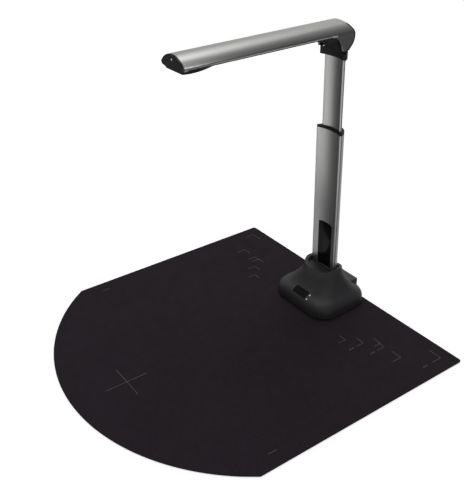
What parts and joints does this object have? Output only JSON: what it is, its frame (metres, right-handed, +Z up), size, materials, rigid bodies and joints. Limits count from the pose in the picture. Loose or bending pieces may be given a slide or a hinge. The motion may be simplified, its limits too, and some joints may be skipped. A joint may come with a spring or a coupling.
{
  "type": "book scanner",
  "caption": "Overhead book scanner: a hinged camera arm on a telescopic flat column, with a weighted base that stands at the back of a soft mat with paper-format marks.",
  "frame": {"origin": "foot of the column's axis, on the surface under the mat", "axes": "+Z up along the column, -Y along the arm towards the user, +X to the user's right"},
  "size_m": [0.461, 0.4579, 0.414],
  "materials": {
    "mat": "matt soft sheet, near black",
    "black_plastic": "satin moulded, fine texture",
    "gloss_black": "polished",
    "anodised": "fine brushed, clear anodised",
    "steel": "plated",
    "iron": "as cast, painted",
    "board": "solder mask",
    "foot_rubber": "matt",
    "acetal": "natural",
    "brass": "turned",
    "glass": "coated, polished",
    "lamp_white": "translucent white",
    "indicator": "clear, lit",
    "flex": "polyimide film",
    "chip": "moulded epoxy"
  },
  "bodies": {
    "stand": {"scan_mat": "mat", "base_shell": "black_plastic", "base_plate": "steel", "base_feet": "foot_rubber", "base_screws": "steel", "base_weight": "iron", "tube_socket": "iron", "socket_screws": "steel", "base_board": "board", "board_screws": "steel", "usb_device_socket": "steel", "usb_data_socket": "steel", "rear_panel": "black_plastic", "control_board": "board", "control_switches": "chip", "control_screws": "steel", "indicator_lamps": "indicator", "outer_tube": "anodised", "column_panel": "gloss_black", "guide_bush": "acetal", "column_collar": "black_plastic"},
    "mast": {"inner_tube": "anodised", "slide_shoe": "acetal", "friction_pads": "foot_rubber", "column_head": "black_plastic", "head_screws": "steel", "hinge_block": "black_plastic", "hinge_bush": "brass", "friction_washers": "steel"},
    "arm": {"arm_shell": "anodised", "arm_tray": "black_plastic", "arm_end_cap": "gloss_black", "tip_indicator": "indicator", "arm_rear_cap": "black_plastic", "camera_pod": "black_plastic", "lens_glass": "glass", "lens_barrel": "black_plastic", "image_sensor": "chip", "camera_board": "board", "lamp_board": "board", "lamps": "indicator", "lamp_diffuser": "lamp_white", "hinge_pin": "steel", "pin_cover": "anodised", "tray_screws": "steel", "arm_ribbon": "flex"},
    "button": {"scan_button": "gloss_black"}
  },
  "joints": [
    {"name": "column_slide", "type": "slide", "parent": "stand", "child": "mast", "axis": [0, 0, 1], "range_m": [-0.096, 0]},
    {"name": "arm_fold", "type": "hinge", "parent": "mast", "child": "arm", "pos_m": [0, -0.0135, 0.3975], "axis": [1, 0, 0], "range_deg": [0, 90]},
    {"name": "scan_press", "type": "slide", "parent": "stand", "child": "button", "axis": [0, 0.5, -0.866], "range_m": [0, 0.0008], "stiffness_N_per_m": 400, "springref_m": -0.0005}
  ]
}
